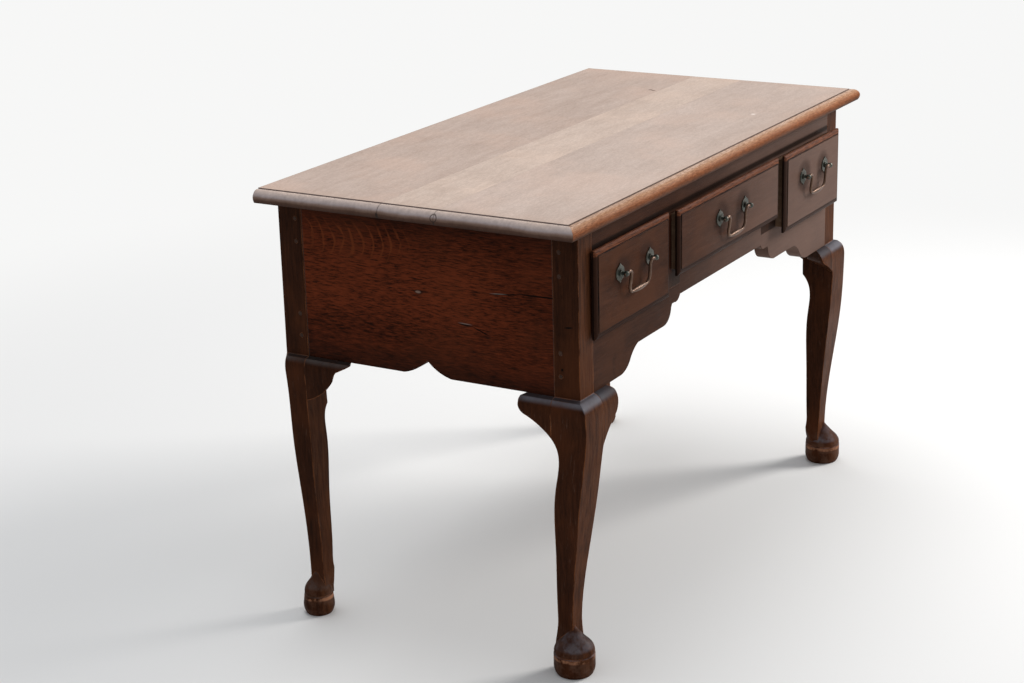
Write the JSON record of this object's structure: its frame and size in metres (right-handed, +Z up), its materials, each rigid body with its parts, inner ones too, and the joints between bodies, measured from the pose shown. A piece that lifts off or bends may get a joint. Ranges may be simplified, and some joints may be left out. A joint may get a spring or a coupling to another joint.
{
  "type": "lowboy",
  "caption": "Oak side table with a moulded top, a row of lipped drawers with brass bail handles, a shaped apron and cabriole legs on pad feet.",
  "frame": {"origin": "on the floor, under the middle of the whole object's width and depth", "axes": "+X to the right seen from the front, -Y out of the drawer fronts, +Z up"},
  "size_m": [1.099, 0.565, 0.711],
  "materials": {
    "top_oak": "faded, waxed and worn",
    "frame_oak": "old wax polish",
    "panel_oak": "old wax polish",
    "leg_oak": "old wax polish, worn arrises",
    "drawer_front_oak": "old wax polish",
    "peg_oak": "old wax polish",
    "inner_oak": "dry, unpolished",
    "handle_brass": "dull aged patina",
    "nut_iron": "dull"
  },
  "bodies": {
    "case": {"back_left_end_bracket": "leg_oak", "back_left_leg": "leg_oak", "back_panel": "inner_oak", "back_right_end_bracket": "leg_oak", "back_right_leg": "leg_oak", "centre_apron_rail": "frame_oak", "centre_kicker": "inner_oak", "frame_pegs": "peg_oak", "front_left_end_bracket": "leg_oak", "front_left_face_bracket": "leg_oak", "front_left_leg": "leg_oak", "front_right_end_bracket": "leg_oak", "front_right_face_bracket": "leg_oak", "front_right_leg": "leg_oak", "front_top_rail": "frame_oak", "left_apron_rail": "frame_oak", "left_end_panel": "panel_oak", "left_kicker": "inner_oak", "left_muntin": "frame_oak", "right_apron_rail": "frame_oak", "right_end_panel": "panel_oak", "right_kicker": "inner_oak", "right_muntin": "frame_oak", "top_back_board": "top_oak", "top_front_board": "top_oak", "top_glue_blocks": "inner_oak", "top_middle_board": "top_oak", "centre_drawer_left_runner": "inner_oak", "centre_drawer_right_runner": "inner_oak", "left_drawer_inner_runner": "inner_oak", "left_drawer_outer_runner": "inner_oak", "right_drawer_inner_runner": "inner_oak", "right_drawer_outer_runner": "inner_oak"},
    "left_drawer": {"left_drawer_back": "inner_oak", "left_drawer_bottom": "inner_oak", "left_drawer_front": "drawer_front_oak", "left_drawer_left_side": "inner_oak", "left_drawer_right_side": "inner_oak", "left_handle_nuts": "nut_iron", "left_handle_plates": "handle_brass", "left_handle_posts": "handle_brass"},
    "centre_drawer": {"centre_drawer_back": "inner_oak", "centre_drawer_bottom": "inner_oak", "centre_drawer_front": "drawer_front_oak", "centre_drawer_left_side": "inner_oak", "centre_drawer_right_side": "inner_oak", "centre_handle_nuts": "nut_iron", "centre_handle_plates": "handle_brass", "centre_handle_posts": "handle_brass"},
    "right_drawer": {"right_drawer_back": "inner_oak", "right_drawer_bottom": "inner_oak", "right_drawer_front": "drawer_front_oak", "right_drawer_left_side": "inner_oak", "right_drawer_right_side": "inner_oak", "right_handle_nuts": "nut_iron", "right_handle_plates": "handle_brass", "right_handle_posts": "handle_brass"},
    "left_bail": {"left_bail": "handle_brass"},
    "centre_bail": {"centre_bail": "handle_brass"},
    "right_bail": {"right_bail": "handle_brass"}
  },
  "joints": [
    {"name": "left_drawer_slide", "type": "slide", "parent": "case", "child": "left_drawer", "axis": [0, -1, 0], "range_m": [-0.0027, 0.33]},
    {"name": "centre_drawer_slide", "type": "slide", "parent": "case", "child": "centre_drawer", "axis": [0, -1, 0], "range_m": [-0.0097, 0.33]},
    {"name": "right_drawer_slide", "type": "slide", "parent": "case", "child": "right_drawer", "axis": [0, -1, 0], "range_m": [-0.0142, 0.33]},
    {"name": "left_bail_hinge", "type": "hinge", "parent": "left_drawer", "child": "left_bail", "pos_m": [-0.3355, -0.2665, 0.603], "axis": [-1, 0, 0], "range_deg": [-5, 116]},
    {"name": "centre_bail_hinge", "type": "hinge", "parent": "centre_drawer", "child": "centre_bail", "pos_m": [0, -0.2735, 0.607], "axis": [-1, 0, 0], "range_deg": [-5, 116]},
    {"name": "right_bail_hinge", "type": "hinge", "parent": "right_drawer", "child": "right_bail", "pos_m": [0.3355, -0.278, 0.603], "axis": [-1, 0, 0], "range_deg": [-5, 116]}
  ]
}
